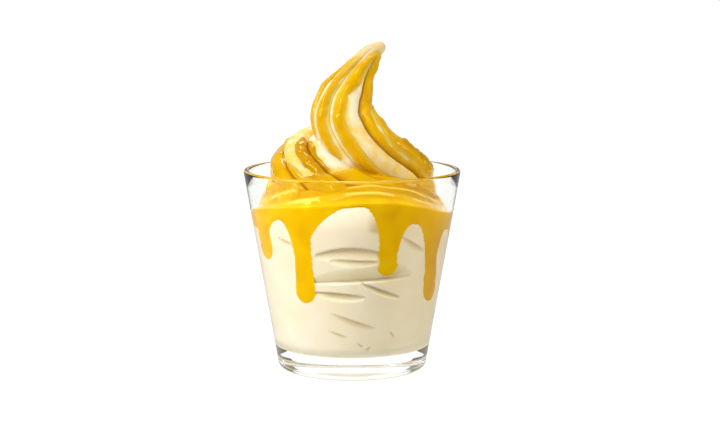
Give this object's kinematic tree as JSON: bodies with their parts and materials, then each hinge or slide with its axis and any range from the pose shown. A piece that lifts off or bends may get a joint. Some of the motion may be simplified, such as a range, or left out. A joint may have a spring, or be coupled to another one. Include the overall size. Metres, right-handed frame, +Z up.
{
  "type": "sundae",
  "caption": "Vanilla soft-serve ice cream sundae with dripping mango sauce, served in a clear conical glass tumbler.",
  "frame": {"origin": "centre of the tumbler's foot, on the surface it stands on", "axes": "+Z up along the tumbler's axis, -Y towards the viewer of the picture, +X to the right, where the tip of the swirl leans"},
  "size_m": [0.0874, 0.0874, 0.1318],
  "materials": {
    "clear_glass": "clear, polished",
    "ice_cream": "soft satin, slightly translucent",
    "mango_sauce": "wet gloss"
  },
  "bodies": {
    "root": {"glass_tumbler": "clear_glass", "ice_cream": "ice_cream", "mango_sauce": "mango_sauce"}
  },
  "joints": []
}
